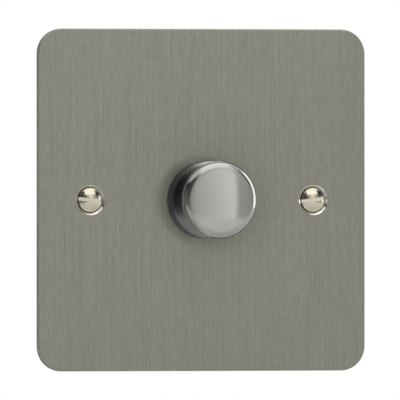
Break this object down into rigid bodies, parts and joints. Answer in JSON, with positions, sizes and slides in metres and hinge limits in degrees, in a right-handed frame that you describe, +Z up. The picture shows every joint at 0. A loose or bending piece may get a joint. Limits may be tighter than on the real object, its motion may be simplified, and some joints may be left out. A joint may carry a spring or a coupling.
{
  "type": "dimmer switch",
  "caption": "Flat square brushed-metal wall plate with a round push-and-turn dimmer knob, countersunk slotted fixing screws and a boxed dimming module with screw terminals behind it.",
  "frame": {"origin": "on the wall's surface, at the middle of the seal's rear face, on the knob's axis", "axes": "+Z up, +Y into the wall, +X to the right as seen from the room"},
  "size_m": [0.0886, 0.043, 0.0886],
  "materials": {
    "plate_steel": "fine vertical brushing, satin",
    "knob_steel": "satin, brushed across the face",
    "nickel_plate": "polished nickel plate, slightly warm",
    "knob_plastic": "dark grey moulding",
    "seal_foam": "closed-cell foam",
    "spring_steel": "bright spring steel",
    "spindle_metal": "turned",
    "bush_metal": "nickel plated",
    "zinc_steel": "bright zinc plate",
    "black_plastic": "moulded",
    "white_plastic": "moulded",
    "tinned_copper": "tin plated",
    "track_carbon": "carbon film",
    "contact_copper": "bright copper",
    "sink_aluminium": "mill finish",
    "housing_plastic": "black flame-retardant moulding",
    "board_laminate": "solder resist",
    "pad_silicone": "grey silicone",
    "ferrite": "sintered",
    "enamelled_copper": "enamelled",
    "capacitor_plastic": "potted box",
    "can_aluminium": "sleeved can",
    "fuse_ceramic": "glazed tube",
    "resistor_body": "lacquered",
    "terminal_brass": "bright brass"
  },
  "bodies": {
    "base": {"front_plate": "plate_steel", "fixing_screws": "nickel_plate", "plate_gasket": "seal_foam", "threaded_bush": "bush_metal", "bush_nut": "zinc_steel", "lock_washer": "zinc_steel", "pot_housing": "black_plastic", "pot_pins": "tinned_copper", "resistor_track": "track_carbon", "switch_housing": "black_plastic", "fixed_contacts": "contact_copper", "return_spring": "spring_steel", "heat_sink": "sink_aluminium", "module_housing": "housing_plastic", "rear_cover": "housing_plastic", "cover_screws": "zinc_steel", "circuit_board": "board_laminate", "power_transistors": "black_plastic", "thermal_pads": "pad_silicone", "transistor_screws": "zinc_steel", "choke_core": "ferrite", "choke_winding": "enamelled_copper", "film_capacitor": "capacitor_plastic", "electrolytic_capacitor": "can_aluminium", "fuse": "fuse_ceramic", "resistors": "resistor_body", "control_chip": "black_plastic", "terminal_tunnels": "terminal_brass", "terminal_screws": "zinc_steel", "earth_terminal": "terminal_brass", "earth_screw": "zinc_steel"},
    "push_slider": {"switch_slider": "white_plastic", "contact_bridge": "contact_copper"},
    "knob": {"knob_cap": "knob_steel", "knob_core": "knob_plastic", "knob_spring_clip": "spring_steel", "spindle": "spindle_metal", "retaining_ring": "spring_steel"},
    "wiper": {"wiper_rotor": "white_plastic", "wiper_contact": "contact_copper"}
  },
  "joints": [
    {"name": "knob_push", "type": "slide", "parent": "base", "child": "push_slider", "axis": [0, 1, 0], "range_m": [0, 0.0012], "stiffness_N_per_m": 1500, "springref_m": -0.002, "deforming": ["return_spring"]},
    {"name": "knob_turn", "type": "hinge", "parent": "push_slider", "child": "knob", "pos_m": [0, 0, 0], "axis": [0, 1, 0], "range_deg": [-140, 140]},
    {"name": "wiper_turn", "type": "hinge", "parent": "base", "child": "wiper", "pos_m": [0, 0, 0], "axis": [0, 1, 0], "range_deg": [-140, 140]}
  ],
  "couplings": [
    {"joint": "wiper_turn", "follows": "knob_turn", "ratio": 1}
  ]
}
